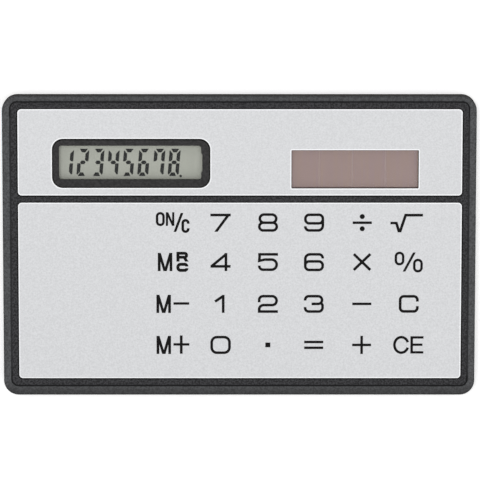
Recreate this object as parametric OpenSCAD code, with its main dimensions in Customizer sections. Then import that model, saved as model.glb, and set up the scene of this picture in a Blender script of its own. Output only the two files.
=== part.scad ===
// Slim pocket calculator of card size, built from its separate pieces.
// It lies face up: the back rests on z = 0, +X runs to the right and +Y to the display edge.

/* [Case] */
// Length of the case, along X
case_l = 86; // [86:0.5:88]
// Width of the case, along Y
case_w = 55; // [55:0.5:57]
// Thickness of the case, along Z
case_t = 3.5; // [3.5:0.1:3.9]
// Outer corner radius, seen from the front
corner_r = 2.7; // [2.6:0.1:3.4]
// Bevel along the front and back edges
edge_bevel = 0.35; // [0.2:0.05:0.4]
// Floor thickness of the rear cover
floor_t = 0.7; // [0.6:0.05:0.7]
// Height of the parting line above the back
parting_z = 1.2; // [1.15:0.05:1.3]

/* [Face] */
// Dark border to the left of the silver face
border_left = 2.77; // [2.6:0.01:3]
// Dark border to the right of the silver face
border_right = 2.52; // [2.5:0.01:3]
// Dark border above the silver face
border_top = 2.41; // [2.4:0.01:3]
// Dark border below the silver face
border_bottom = 3.05; // [2.6:0.01:3.2]
// Corner radius of the silver face
face_r = 0.7; // [0.4:0.1:1]
// Textured inner band between the groove and the silver face
band_w = 1.2; // [1:0.05:1.25]
// Width of the groove that runs around the band
groove_w = 0.2; // [0.15:0.05:0.25]
// Depth of the groove below the band
groove_d = 0.15; // [0.1:0.05:0.2]
// Lower edge of the crossbar that parts display and keys
bar_low = 8; // [7.85:0.05:8.1]
// Width of the crossbar
bar_w = 1.25; // [1.1:0.05:1.35]

/* [Keys] */
// Distance between key columns
col_pitch = 8.6; // [8.4:0.05:8.7]
// Distance between key rows
row_pitch = 7.5; // [7.3:0.05:7.5]
// X of the first key column
first_col = -12; // [-12.2:0.1:-11.8]
// Y of the first key row
first_row = 4.25; // [4.1:0.05:4.3]
// Length of one key pad
key_l = 7.2; // [6.6:0.1:7.4]
// Width of one key pad
key_w = 6; // [5.6:0.1:6.2]
// How far a key goes down before its contact closes
key_travel = 0.25; // [0.2:0.05:0.25]

/* [Display] */
// Length of the black display surround
surround_l = 28.6; // [28:0.1:29]
// Width of the black display surround
surround_w = 8.85; // [8.6:0.1:9]
// Corner radius of the display surround
surround_r = 1.9; // [1.5:0.1:2.2]
// Wall of the surround to the left of its window
surround_wall = 1.2; // [1.1:0.01:1.3]
// Height of the display digits
digit_h = 5; // [4.6:0.05:5.2]
// Distance between the digits
digit_pitch = 2.765; // [2.7:0.001:2.8]

/* [Solar cell] */
// Length of the solar cell's glass
solar_l = 23; // [22:0.05:24]
// Width of the solar cell's glass
solar_w = 6.8; // [6:0.1:7]

/* [Hidden] */
$fn = 48;

KEY_NAMES = [
    ["on_clear", "7", "8", "9", "divide", "root"],
    ["memory_recall", "4", "5", "6", "times", "percent"],
    ["memory_minus", "1", "2", "3", "minus", "clear"],
    ["memory_plus", "0", "point", "equals", "plus", "clear_entry"]
];

// Outlines are boxes [x low, x high, y low, y high].
function grow(box, d) = [box[0] - d, box[1] + d, box[2] - d, box[3] + d];
function centred(x, y, l, w) = [x - l / 2, x + l / 2, y - w / 2, y + w / 2];

case_box = centred(0, 0, case_l, case_w);
face_box = [
    case_box[0] + border_left, case_box[1] - border_right,
    case_box[2] + border_bottom, case_box[3] - border_top
];
bar_high = bar_low + bar_w;
film_box = [face_box[0], face_box[1], face_box[2], bar_low];
panel_box = [face_box[0], face_box[1], bar_high, face_box[3]];
groove_r = 1.1;

// The lower ring of the bezel is wider than the face, and leaves this opening.
inner_box = [-38.6, 38.6, -22.9, 23.3];
inner_r = 1.5;
lip_gap = 0.05;
lip_t = 0.5;
lip_h = 0.4;

// Heights, from the back up to the front
board_z = floor_t + 0.4;
board_t = 0.6;
board_top = board_z + board_t;
pad_t = 0.04;
spacer_t = 0.25;
mat_t = 0.3;
mat_z = board_top + spacer_t;
band_z = case_t - 0.15;
face_z = case_t - 0.3;
skin_t = 0.25;
carrier_top = face_z - skin_t;
carrier_t = 0.65;
ledge_z = carrier_top - carrier_t;

// Keys: a pad in the film's opening, a stem through the carrier and a contact pill
key_gap = 0.15;
key_r = 1;
stem_r = 1.7;
pill_r = 1.5;
pill_t = 0.05;
pill_z = board_top + pad_t + key_travel + 0.01;
function key_x(c) = first_col + c * col_pitch;
function key_y(r) = first_row - r * row_pitch;

// Circuit board, and the part of it that the keys cover
board_box = [-37.9, 37.9, -22.2, 8.6];
mat_box = [key_x(0) - 5.5, key_x(5) + 5.5, key_y(3) - 3.7, key_y(0) + 3];
mat_r = 1;

// Display, from the surround in front to the polariser behind
surround_box = centred(-19.62, 15.155, surround_l, surround_w);
window_box = [
    surround_box[0] + surround_wall, surround_box[1] - surround_wall - 0.27,
    surround_box[2] + surround_wall + 0.27, surround_box[3] - surround_wall + 0.02
];
window_r = 0.5;
glass_box = [-34.3, -4.9, 11, 19.3];
ledge_w = 1.3;
glass_t = 0.5;
polariser_t = 0.15;
polariser_box = [-33.1, -6.1, 11.9, 18.6];
cell_gap = 0.05;
segment_t = 0.03;
rear_glass_z = board_top - glass_t;
front_glass_z = board_top + cell_gap;
tape_z = front_glass_z + glass_t;
tape_t = 0.2;
surround_z = tape_z + tape_t;
lens_z = surround_z + 0.15;
lens_t = 0.25;

// Digits: seven bars each, leaning to the right
digit_w = 2;
digit_lean = tan(4.75);
segment_w = 0.66;
digits_right = -11.05;
digits_low = 12.66;
// Bars lit for the digits 1 to 8: a is the top bar, then clockwise, and g is the middle bar
LIT = ["bc", "abged", "abgcd", "fgbc", "afgcd", "afgedc", "abcf", "abcdefg"];

// Solar cell
solar_box = centred(20.99, 14.07, solar_l, solar_w);
cell_pitch = 6;
cell_split = 0.16;
cell_rim = 0.1;
cell_t = 0.05;
solar_z = face_z - 0.1;
solar_glass_t = 0.9;
cells_z = solar_z - solar_glass_t - cell_t;
backing_z = cells_z - 0.05;
solar_tape_t = 0.15;
solar_tape_box = [11.2, 30.8, 12.4, 16.8];
wire_r = 0.22;
wire_z = board_top + wire_r + 0.01;

// Screws
screw_spots = [[-40.1, -24.9], [40.1, -24.9], [-40.1, 24.9], [40.1, 24.9]];
screw_r = 0.6;
screw_head_r = 1.1;
screw_head_z = 0.05;
screw_head_h = 0.5;
screw_top = parting_z + 0.8;
screw_play = 0.05;

eps = 0.5;

// Outline of a box with true round corners
module rounded(box, r) {
    translate([box[0] + r, box[2]]) square([box[1] - box[0] - 2 * r, box[3] - box[2]]);
    translate([box[0], box[2] + r]) square([box[1] - box[0], box[3] - box[2] - 2 * r]);
    for (x = [box[0] + r, box[1] - r], y = [box[2] + r, box[3] - r]) translate([x, y]) circle(r);
}

module slab(box, r, low, high) {
    translate([0, 0, low]) linear_extrude(high - low) rounded(box, r);
}

module ring(outer, outer_r, inner, inner_r, low, high) {
    translate([0, 0, low]) linear_extrude(high - low) difference() {
        rounded(outer, outer_r);
        rounded(inner, inner_r);
    }
}

module block(box, low, high) {
    translate([box[0], box[2], low]) cube([box[1] - box[0], box[3] - box[2], high - low]);
}

// A layer of height c that grows by c on every side, from z = 0 up
module bevel_layer(box, r, c) {
    for (x = [box[0] + r, box[1] - r], y = [box[2] + r, box[3] - r])
        translate([x, y, 0]) cylinder(h = c, r1 = r - c, r2 = r);
    translate([box[0] + r, 0, 0]) rotate([90, 0, 90]) linear_extrude(box[1] - box[0] - 2 * r)
        polygon([[box[2] + c, 0], [box[3] - c, 0], [box[3], c], [box[2], c]]);
    translate([0, box[3] - r, 0]) rotate([90, 0, 0]) linear_extrude(box[3] - box[2] - 2 * r)
        polygon([[box[0] + c, 0], [box[1] - c, 0], [box[1], c], [box[0], c]]);
}

module at_screws() {
    for (spot = screw_spots) translate([spot[0], spot[1], 0]) children();
}

module at_keys() {
    for (r = [0:3], c = [0:5]) translate([key_x(c), key_y(r), 0]) children();
}

module countersink(play) {
    translate([0, 0, screw_head_z])
        cylinder(h = screw_head_h, r1 = screw_head_r + play, r2 = screw_r + play);
}

module rear_cover() {
    lip_box = grow(inner_box, -lip_gap);
    tray_box = grow(lip_box, -lip_t);
    color("#2b2b2d") difference() {
        union() {
            bevel_layer(case_box, corner_r, edge_bevel);
            slab(case_box, corner_r, edge_bevel, parting_z);
            slab(lip_box, inner_r, parting_z, parting_z + lip_h);
        }
        difference() {
            slab(tray_box, inner_r - lip_t, floor_t, parting_z + lip_h + eps);
            // Posts under the circuit board
            for (x = [-36, 0, 36], y = [-20.5, 6.8])
                translate([x, y, 0]) cylinder(h = board_z, r = 1);
            // Rests under both ends of the display glass
            for (x = [-34.2, -5.8]) translate([x, 12, 0]) cube([0.8, 6.5, rear_glass_z]);
            // Rests under the solar cell
            for (x = [13, 26.5])
                translate([x, 12.8, 0]) cube([2.4, 3.6, backing_z - solar_tape_t]);
        }
        at_screws() {
            countersink(screw_play);
            translate([0, 0, -eps]) cylinder(h = screw_head_z + eps, r = screw_head_r + screw_play);
            cylinder(h = parting_z + eps, r = screw_r + screw_play);
        }
    }
}

module front_bezel() {
    band_box = grow(face_box, band_w);
    groove_box = grow(band_box, groove_w);
    color("#39393b") difference() {
        union() {
            slab(case_box, corner_r, parting_z, case_t - edge_bevel);
            translate([0, 0, case_t]) mirror([0, 0, 1])
                bevel_layer(case_box, corner_r, edge_bevel);
        }
        slab(inner_box, inner_r, parting_z - eps, ledge_z);
        slab(face_box, face_r, ledge_z, carrier_top);
        slab(film_box, face_r, ledge_z, case_t + eps);
        slab(panel_box, face_r, ledge_z, case_t + eps);
        slab(band_box, groove_r, band_z, case_t + eps);
        ring(groove_box, groove_r + groove_w, band_box, groove_r, band_z - groove_d, case_t + eps);
        at_screws() translate([0, 0, parting_z - eps])
            cylinder(h = screw_top + 0.05 - parting_z + eps, r = screw_r + 0.02);
    }
}

module carrier_plate() {
    color("#2c2c2d") difference() {
        slab(grow(face_box, -0.05), face_r, ledge_z, carrier_top);
        slab(grow(surround_box, 0.1), surround_r + 0.1, ledge_z - eps, carrier_top + eps);
        slab(grow(solar_box, 0.1), 0.2, ledge_z - eps, carrier_top + eps);
        at_keys() {
            slab(centred(0, 0, key_l + 2 * key_gap, key_w + 2 * key_gap), key_r + key_gap,
                carrier_top - key_travel - 0.05, carrier_top + eps);
            translate([0, 0, ledge_z - eps]) cylinder(h = carrier_t + eps, r = stem_r + 0.2);
        }
    }
}

module upper_panel() {
    color("#d8d9da") difference() {
        slab(grow(panel_box, -0.02), face_r, carrier_top, face_z);
        slab(grow(surround_box, 0.05), surround_r + 0.05, carrier_top - eps, face_z + eps);
        slab(grow(solar_box, 0.1), 0.15, carrier_top - eps, face_z + eps);
    }
}

module keypad_film() {
    color("#dcddde") difference() {
        slab(grow(film_box, -0.02), face_r, carrier_top, face_z);
        at_keys() slab(centred(0, 0, key_l + 2 * key_gap, key_w + 2 * key_gap),
            key_r + key_gap, carrier_top - eps, face_z + eps);
    }
}

module key(r, c) {
    color("#e4e5e6") translate([key_x(c), key_y(r), 0]) {
        slab(centred(0, 0, key_l, key_w), key_r, carrier_top, face_z);
        translate([0, 0, pill_z + pill_t]) cylinder(h = carrier_top - pill_z - pill_t, r = stem_r);
        translate([0, 0, pill_z]) cylinder(h = pill_t, r = pill_r);
    }
}

module case_screws() {
    slot_w = 0.3;
    slot_l = 1.4;
    slot_d = 0.25;
    color("#8d9096") at_screws() difference() {
        union() {
            countersink(0);
            translate([0, 0, screw_head_z + screw_head_h])
                cylinder(h = screw_top - screw_head_z - screw_head_h, r = screw_r);
        }
        for (turn = [0, 90]) rotate([0, 0, turn]) translate([-slot_l / 2, -slot_w / 2, 0])
            cube([slot_l, slot_w, screw_head_z + slot_d]);
    }
}

module display_surround() {
    color("#2f2f30") difference() {
        ring(surround_box, surround_r, window_box, window_r, surround_z, band_z);
        slab(grow(window_box, 0.5), window_r, surround_z - eps, lens_z + lens_t);
    }
}

module display_lens() {
    color("#e8eef0", 0.35) slab(grow(window_box, 0.45), window_r, lens_z, lens_z + lens_t);
}

module display_tape() {
    color("#1d1d1e") ring(grow(glass_box, -0.45), 1, grow(polariser_box, 0.1), 0.3,
        tape_z, tape_z + tape_t);
}

module front_polariser() {
    color("#9aa09a", 0.5) slab(polariser_box, 0.2, tape_z, tape_z + polariser_t);
}

module front_glass() {
    color("#cfe0dc", 0.4) block(glass_box, front_glass_z, front_glass_z + glass_t);
}

module lcd_seal() {
    color("#c9c4b4") ring(grow(glass_box, -0.1), 0.4, grow(glass_box, -0.9), 0.3,
        board_top, front_glass_z);
}

module rear_glass() {
    long_box = [glass_box[0], glass_box[1], glass_box[2] - ledge_w, glass_box[3]];
    color("#cfe0dc", 0.4) block(long_box, rear_glass_z, board_top);
}

module rear_polariser() {
    color("#a3a69f") slab(polariser_box, 0.2, rear_glass_z - polariser_t, rear_glass_z);
}

module display_ribbon() {
    color("#d9a441") block([-33, -6, 7.9, glass_box[2] - 0.2], board_top, board_top + 0.08);
}

// One bar of a digit, in the digit's own frame: a, d and g lie across, the others stand
module bar(name) {
    h = digit_h / 2;
    m = digit_w / 2;
    t = segment_w;
    across = [[m - 0.68, 0], [m + 0.68, 0], [m + 0.3, t], [m - 0.3, t]];
    middle = [
        [m - 0.5, h], [m - 0.28, h + t / 2], [m + 0.28, h + t / 2],
        [m + 0.5, h], [m + 0.28, h - t / 2], [m - 0.28, h - t / 2]
    ];
    standing = [[0, 0.4], [t, 0.85], [t, h - 0.35], [0, h - 0.17]];
    points = name == "g" ? middle : name == "a" || name == "d" ? across : standing;
    right = name == "b" || name == "c";
    upper = name == "a" || name == "b" || name == "f";
    polygon([for (p = points)
        let (x = right ? digit_w - p[0] : p[0], y = upper ? digit_h - p[1] : p[1])
        [x + digit_lean * y, y]]);
}

module lcd_segments() {
    color("#4a4a4c") translate([0, digits_low, board_top]) {
        for (d = [0:7])
            translate([digits_right - digit_w + (d - 7) * digit_pitch, 0, 0])
                linear_extrude(segment_t) for (name = LIT[d]) bar(name);
        translate([digits_right + 0.15, -0.23, 0]) cube([0.46, 0.46, segment_t]);
    }
}

module solar_glass() {
    color("#b9a9a6", 0.5) slab(solar_box, 0.1, solar_z - solar_glass_t, solar_z);
}

// Four cells in a row, with a narrow split between them; the left one is cut shorter
module solar_cells() {
    color("#6d4a44") for (i = [0:3])
        block([max(solar_box[1] - (4 - i) * cell_pitch + cell_split / 2, solar_box[0] + cell_rim),
            min(solar_box[1] - (3 - i) * cell_pitch - cell_split / 2, solar_box[1] - cell_rim),
            solar_box[2] + cell_rim, solar_box[3] - cell_rim], cells_z, cells_z + cell_t);
}

module solar_backing() {
    color("#3c3a3a")
        block([solar_box[0] + 0.2, solar_box[1] - 0.2, 12, solar_box[3] - 0.2], backing_z, cells_z);
}

module solar_tape() {
    color("#efefec") block(solar_tape_box, backing_z - solar_tape_t, backing_z);
}

module solar_wire(x) {
    translate([x, 7.6, wire_z]) rotate([-90, 0, 0]) cylinder(h = 4.1, r = wire_r);
}

module solar_wire_positive() {
    color("#b3231d") solar_wire(31);
}

module solar_wire_negative() {
    color("#1b1b1b") solar_wire(11);
}

module circuit_board() {
    color("#2f6b3c") slab(board_box, 0.8, board_z, board_top);
}

// Under each key, two half discs of carbon that its pill bridges
module contact_pads() {
    color("#1f1f20") at_keys() translate([0, 0, board_top]) linear_extrude(pad_t) difference() {
        circle(2);
        translate([-0.2, -3]) square([0.4, 6]);
    }
}

// A low round drop of resin over the bare chip
module controller_chip() {
    drop_h = 0.5;
    drop_r = 4.5;
    ball_r = (drop_r * drop_r + drop_h * drop_h) / (2 * drop_h);
    color("#141415") translate([-28, -8, board_top]) rotate_extrude() intersection() {
        translate([0, drop_h - ball_r]) circle(ball_r, $fn = 400);
        square([drop_r + 1, drop_h + eps]);
    }
}

module chip_part(x, y, l, w, h) {
    block(centred(x, y, l, w), board_top, board_top + h);
}

module capacitor() {
    color("#b08d57") chip_part(-28, 1.5, 3.2, 1.6, 0.5);
}

module resistors() {
    color("#232325") for (y = [-15, -17, -19]) chip_part(-24, y, 1.6, 0.8, 0.45);
}

module voltage_diode() {
    color("#a8433a") translate([-33, -17, board_top + 0.27]) rotate([0, 90, 0])
        cylinder(h = 2.4, r = 0.26);
}

module spacer_film() {
    color("#f0ead6") difference() {
        slab(mat_box, mat_r, board_top + pad_t, mat_z);
        at_keys() translate([0, 0, board_top - eps]) cylinder(h = spacer_t + 2 * eps, r = 2.5);
    }
}

module keypad_mat() {
    color("#9fa3a6") difference() {
        slab(mat_box, mat_r, mat_z, mat_z + mat_t);
        at_keys() translate([0, 0, mat_z - eps]) cylinder(h = mat_t + 2 * eps, r = stem_r + 0.2);
    }
}

rear_cover();
front_bezel();
carrier_plate();
upper_panel();
keypad_film();
case_screws();
display_surround();
display_lens();
display_tape();
front_polariser();
front_glass();
lcd_seal();
lcd_segments();
rear_glass();
rear_polariser();
display_ribbon();
solar_glass();
solar_cells();
solar_backing();
solar_tape();
solar_wire_positive();
solar_wire_negative();
circuit_board();
contact_pads();
controller_chip();
capacitor();
resistors();
voltage_diode();
spacer_film();
keypad_mat();
for (r = [0:3], c = [0:5])
    key(r, c);
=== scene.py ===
# Slim pocket calculator of card size: looks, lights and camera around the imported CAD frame.
import math

import bmesh
import bpy
import numpy as np
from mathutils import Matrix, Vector, geometry


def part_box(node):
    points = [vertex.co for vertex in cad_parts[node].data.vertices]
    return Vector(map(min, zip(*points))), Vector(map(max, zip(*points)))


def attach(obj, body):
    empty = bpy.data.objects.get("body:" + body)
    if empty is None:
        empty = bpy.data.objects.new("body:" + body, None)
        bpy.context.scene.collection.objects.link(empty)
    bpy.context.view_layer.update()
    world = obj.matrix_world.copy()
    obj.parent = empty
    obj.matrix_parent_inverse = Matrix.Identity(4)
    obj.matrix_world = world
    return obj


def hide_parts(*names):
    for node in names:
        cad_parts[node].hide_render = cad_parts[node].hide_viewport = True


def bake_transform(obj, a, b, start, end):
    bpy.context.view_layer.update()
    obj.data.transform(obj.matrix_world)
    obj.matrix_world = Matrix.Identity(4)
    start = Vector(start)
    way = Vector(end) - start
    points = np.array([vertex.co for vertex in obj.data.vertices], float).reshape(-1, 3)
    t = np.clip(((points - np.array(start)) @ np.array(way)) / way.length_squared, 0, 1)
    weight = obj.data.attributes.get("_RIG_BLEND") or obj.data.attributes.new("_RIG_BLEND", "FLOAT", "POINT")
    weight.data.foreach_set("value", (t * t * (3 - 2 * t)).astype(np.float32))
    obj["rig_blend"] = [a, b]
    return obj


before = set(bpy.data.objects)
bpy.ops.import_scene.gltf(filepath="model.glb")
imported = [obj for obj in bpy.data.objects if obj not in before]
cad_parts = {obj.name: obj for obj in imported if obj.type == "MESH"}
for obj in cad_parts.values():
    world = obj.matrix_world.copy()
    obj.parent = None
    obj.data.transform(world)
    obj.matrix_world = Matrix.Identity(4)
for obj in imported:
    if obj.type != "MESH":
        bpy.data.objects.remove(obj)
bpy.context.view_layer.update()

# Pieces are worked out in millimetres and scaled once, when a mesh is made. The studio is in metres.
MM = 0.001
CORNER_STEPS = 10
# The turn between two points of a stroke's arc, and how close two of its points may be
ARC_STEP = math.radians(11)
SAME_POINT = 0.01
# Edges that bend more than this are drawn crisp
SHARP = math.radians(40)
BUMP_HEIGHT = 0.05 * MM


# ---------------------------------------------------------------- outlines and meshes

def cad_box(name):
    """A CAD node's box in mm: [x low, x high, y low, y high, z low, z high]."""
    low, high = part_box(name)
    return [value / MM for pair in zip(low, high) for value in pair]


def grow(box, d):
    return (box[0] - d, box[1] + d, box[2] - d, box[3] + d)


def box_centre(box):
    return (box[0] + box[1]) / 2, (box[2] + box[3]) / 2


def outline(box, r, steps=CORNER_STEPS):
    """Points round a box with rounded corners, anticlockwise, steps + 1 for each corner."""
    x0, x1, y0, y1 = box[:4]
    centres = ((x1 - r, y0 + r, 270), (x1 - r, y1 - r, 0), (x0 + r, y1 - r, 90), (x0 + r, y0 + r, 180))
    points = []
    for cx, cy, start in centres:
        for i in range(steps + 1):
            a = math.radians(start + 90 * i / steps)
            points.append((cx + r * math.cos(a), cy + r * math.sin(a)))
    return points


def circle(x, y, r, steps=32):
    return [(x + r * math.cos(2 * math.pi * i / steps), y + r * math.sin(2 * math.pi * i / steps))
            for i in range(steps)]


class Builder:
    """Gathers rings and faces of one piece in mm, and makes a closed mesh of them."""

    def __init__(self):
        self.bm = bmesh.new()

    def ring(self, points, z):
        return [self.bm.verts.new((x, y, z)) for x, y in points]

    def box_ring(self, box, r, z):
        return self.ring(outline(box, r), z)

    def walls(self, rings, slot=0, smooth=True):
        """Quads between each ring and the next, which have the same number of points."""
        for a, b in zip(rings, rings[1:]):
            for i in range(len(a)):
                j = (i + 1) % len(a)
                face = self.bm.faces.new((a[i], a[j], b[j], b[i]))
                face.smooth = smooth
                face.material_index = slot

    def flat(self, outer, holes=(), up=True, slot=0):
        """A flat face inside the ring outer, less the rings in holes."""
        loops = [outer, *holes]
        verts = [v for loop in loops for v in loop]
        for corner in geometry.tessellate_polygon([[v.co for v in loop] for loop in loops]):
            a, b, c = (verts[i] for i in corner)
            area = (b.co - a.co).cross(c.co - a.co).z
            if abs(area) < 1e-9:
                continue
            if (area > 0) != up:
                b, c = c, b
            face = self.bm.faces.new((a, b, c))
            face.smooth = False
            face.material_index = slot

    def done(self, name, materials, replaced):
        """Makes the object, with its normals outwards and its flat faces kept crisp."""
        bm = self.bm
        bmesh.ops.remove_doubles(bm, verts=bm.verts, dist=1e-5)
        bmesh.ops.recalc_face_normals(bm, faces=bm.faces)
        for edge in bm.edges:
            faces = edge.link_faces
            if len(faces) == 2:
                mixed = faces[0].smooth != faces[1].smooth
                edge.smooth = not mixed and edge.calc_face_angle(0) < SHARP
        return on_case(name, to_mesh(bm, name, materials), replaced)


def to_mesh(bm, name, materials):
    """A mesh in metres of a bmesh in mm, which is freed."""
    bmesh.ops.scale(bm, vec=(MM, MM, MM), verts=bm.verts)
    mesh = bpy.data.meshes.new(name)
    bm.to_mesh(mesh)
    bm.free()
    for mat in materials:
        mesh.materials.append(mat)
    return mesh


def linked(name, data):
    obj = bpy.data.objects.new(name, data)
    bpy.context.collection.objects.link(obj)
    return obj


def on_case(name, mesh, replaced):
    """An object that rides on the case and stands in for a CAD node."""
    obj = linked(name, mesh)
    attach(obj, "case")
    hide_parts(replaced)
    return obj


def arc_steps(count):
    """(sine, cosine) pairs along a quarter turn."""
    return [(math.sin(math.pi / 2 * i / count), math.cos(math.pi / 2 * i / count))
            for i in range(count + 1)]


def edge_profile(box, corner, r, low, high, steps=4, inward=True):
    """Outlines up an outer wall and over its rounded top edge: (points, z) from low to high."""
    sign = -1 if inward else 1
    rows = [(outline(box, corner), low)]
    for s, c in arc_steps(steps):
        d = r * (1 - c)
        rows.append((outline(grow(box, sign * d), max(corner + sign * d, 0.01)), high - r + r * s))
    return rows


# ---------------------------------------------------------------- strokes for print and digits

def rounded_path(points, closed=False):
    """A path of (x, y, corner radius) points, with its corners turned into arcs."""
    out = []
    n = len(points)
    for i, (x, y, r) in enumerate(points):
        here = Vector((x, y))
        if r <= 0 or (not closed and i in (0, n - 1)):
            out.append(here)
            continue
        before, after = (Vector(points[(i + k) % n][:2]) - here for k in (-1, 1))
        half = before.angle(after) / 2
        # A run between two corners is shared by them, and a run to a loose end isn't
        spans = [way.length * (1 if not closed and i + k in (0, n - 1) else 0.5)
                 for way, k in ((before, -1), (after, 1))]
        reach = min(r / math.tan(half), *spans)
        ways = (before.normalized() * reach, after.normalized() * reach)
        # The circle that touches both runs at that distance from the corner
        centre = (ways[0] + ways[1]).normalized() * (reach / math.cos(half))
        start, end = (way - centre for way in ways)
        turn = start.angle_signed(end)
        steps = max(3, round(abs(turn) / ARC_STEP))
        for k in range(steps + 1):
            a = -turn * k / steps
            across = Vector((start.x * math.cos(a) - start.y * math.sin(a),
                             start.x * math.sin(a) + start.y * math.cos(a)))
            out.append(here + centre + across)
    return [p for i, p in enumerate(out) if (p - out[i - 1]).length > SAME_POINT]


def stroke(points, width, closed=False, level_ends=False):
    """The quads of a line of even width along points. Level ends are cut along X."""
    n = len(points)
    half = width / 2
    sides = []
    for i, p in enumerate(points):
        before = points[i - 1] if closed or i else None
        after = points[(i + 1) % n] if closed or i < n - 1 else None
        ways = [(q - p).normalized() * s for q, s in ((before, -1), (after, 1)) if q is not None]
        normals = [Vector((-w.y, w.x)) for w in ways]
        if len(normals) == 1:
            across = normals[0]
            if level_ends and abs(across.x) > 0.3:
                across = Vector((1 / across.x, 0))
        else:
            middle = (normals[0] + normals[1]).normalized()
            across = middle / middle.dot(normals[0])
        sides.append((p + across * half, p - across * half))
    quads = []
    for i in range(n if closed else n - 1):
        quad = [*sides[i], *sides[(i + 1) % n]]
        quads.append([quad[k] for k in geometry.convex_hull_2d(quad)])
    return quads


def bar(width, x0, y0, x1, y1):
    """A straight slanted bar whose two ends are cut level, at heights y0 and y1."""
    half = width / 2 * math.hypot(x1 - x0, y1 - y0) / abs(y1 - y0)
    return [Vector(p) for p in ((x0 - half, y0), (x0 + half, y0), (x1 + half, y1), (x1 - half, y1))]


def block(x0, y0, x1, y1):
    return [Vector(p) for p in ((x0, y0), (x1, y0), (x1, y1), (x0, y1))]


def add_print(bm, polygons, low, high, slot):
    """Adds the union of flat polygons to bm as one raised layer of ink, closed all round."""
    verts, faces = [], []
    for polygon in polygons:
        points = [Vector(p) for p in polygon]
        area = sum(a.cross(b) for a, b in zip(points, points[1:] + points[:1]))
        faces.append(list(range(len(verts), len(verts) + len(points))))
        verts += points if area > 0 else points[::-1]
    flat, _, triangles, _, _, origins = geometry.delaunay_2d_cdt(verts, [], faces, 0, 1e-5)
    kept = [t for t, o in zip(triangles, origins) if o]
    used = sorted({i for t in kept for i in t})
    top = {i: bm.verts.new((flat[i].x, flat[i].y, high)) for i in used}
    base = {i: bm.verts.new((flat[i].x, flat[i].y, low)) for i in used}
    # An edge that two triangles share lies inside, and the others get a wall, in a fixed order
    sides = {}
    for t in kept:
        for ring, order in ((top, t), (base, t[::-1])):
            face = bm.faces.new([ring[i] for i in order])
            face.material_index = slot
        for i in range(3):
            a, b = t[i], t[(i + 1) % 3]
            if (b, a) in sides:
                del sides[(b, a)]
            else:
                sides[(a, b)] = True
    for a, b in sides:
        face = bm.faces.new((base[a], base[b], top[b], top[a]))
        face.material_index = slot


# ---------------------------------------------------------------- materials

def srgb(*values):
    """Linear colour of an 8-bit sRGB one."""
    out = []
    for value in values:
        v = value / 255
        out.append(v / 12.92 if v <= 0.04045 else ((v + 0.055) / 1.055) ** 2.4)
    return tuple(out)


def material(name, colour, roughness, metallic=0.0, **sockets):
    """A plain Principled material. Sockets are named with _ for each space."""
    mat = bpy.data.materials.new(name)
    mat.use_nodes = True
    shader = mat.node_tree.nodes["Principled BSDF"]
    shader.inputs["Base Color"].default_value = (*colour, 1)
    shader.inputs["Roughness"].default_value = roughness
    shader.inputs["Metallic"].default_value = metallic
    for socket, value in sockets.items():
        shader.inputs[socket.replace("_", " ")].default_value = value
    return mat


def node(tree, kind, **values):
    made = tree.nodes.new(kind)
    for key, value in values.items():
        if key in made.inputs:
            made.inputs[key].default_value = value
        else:
            setattr(made, key, value)
    return made


def map_range(tree, to_min, to_max, from_min=0.0, from_max=1.0):
    made = node(tree, "ShaderNodeMapRange")
    for socket, value in (("From Min", from_min), ("From Max", from_max), ("To Min", to_min),
                          ("To Max", to_max)):
        made.inputs[socket].default_value = value
    return made


def grain(mat, size, colour_low, colour_high, bump, rough=None, detail=3.0, stretch=(1, 1, 1),
          spread_to=0.2):
    """Adds a noise pattern of that size in mm to the colour, the surface and the roughness."""
    tree = mat.node_tree
    link = tree.links.new
    shader = tree.nodes["Principled BSDF"]
    where = node(tree, "ShaderNodeTexCoord")
    scale = node(tree, "ShaderNodeMapping")
    scale.inputs["Scale"].default_value = [1 / (size * MM * s) for s in stretch]
    noise = node(tree, "ShaderNodeTexNoise", Scale=1.0, Detail=detail, Roughness=0.6)
    link(where.outputs["Object"], scale.inputs["Vector"])
    link(scale.outputs["Vector"], noise.inputs["Vector"])
    ramp = node(tree, "ShaderNodeValToRGB")
    for element, side, colour in zip(ramp.color_ramp.elements, (-1, 1), (colour_low, colour_high)):
        element.position = 0.5 + side * spread_to
        element.color = (*colour, 1)
    link(noise.outputs["Fac"], ramp.inputs["Fac"])
    link(ramp.outputs["Color"], shader.inputs["Base Color"])
    lift = node(tree, "ShaderNodeBump", Strength=bump, Distance=BUMP_HEIGHT)
    link(noise.outputs["Fac"], lift.inputs["Height"])
    link(lift.outputs["Normal"], shader.inputs["Normal"])
    if rough:
        spread = map_range(tree, *rough)
        link(noise.outputs["Fac"], spread.inputs["Value"])
        link(spread.outputs["Result"], shader.inputs["Roughness"])
    return mat


def shade_ends(mat, axis, start, end, low, high):
    """Scales a material's colour towards two ends of an axis: painted shade where it is scaled down, painted
    light where it is scaled up.

    start and end are pairs in mm: where the change begins, and where it reaches low or high.
    """
    tree = mat.node_tree
    link = tree.links.new
    shader = tree.nodes["Principled BSDF"]
    colour = shader.inputs["Base Color"].links[0].from_socket
    where = node(tree, "ShaderNodeTexCoord")
    parts = node(tree, "ShaderNodeSeparateXYZ")
    link(where.outputs["Object"], parts.inputs["Vector"])
    for (begin, full), amount in ((start, low), (end, high)):
        fade = map_range(tree, 1, amount, begin * MM, full * MM)
        dim = node(tree, "ShaderNodeVectorMath", operation="SCALE")
        link(parts.outputs[axis], fade.inputs["Value"])
        link(colour, dim.inputs[0])
        link(fade.outputs["Result"], dim.inputs["Scale"])
        colour = dim.outputs["Vector"]
    link(colour, shader.inputs["Base Color"])
    return mat


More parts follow.
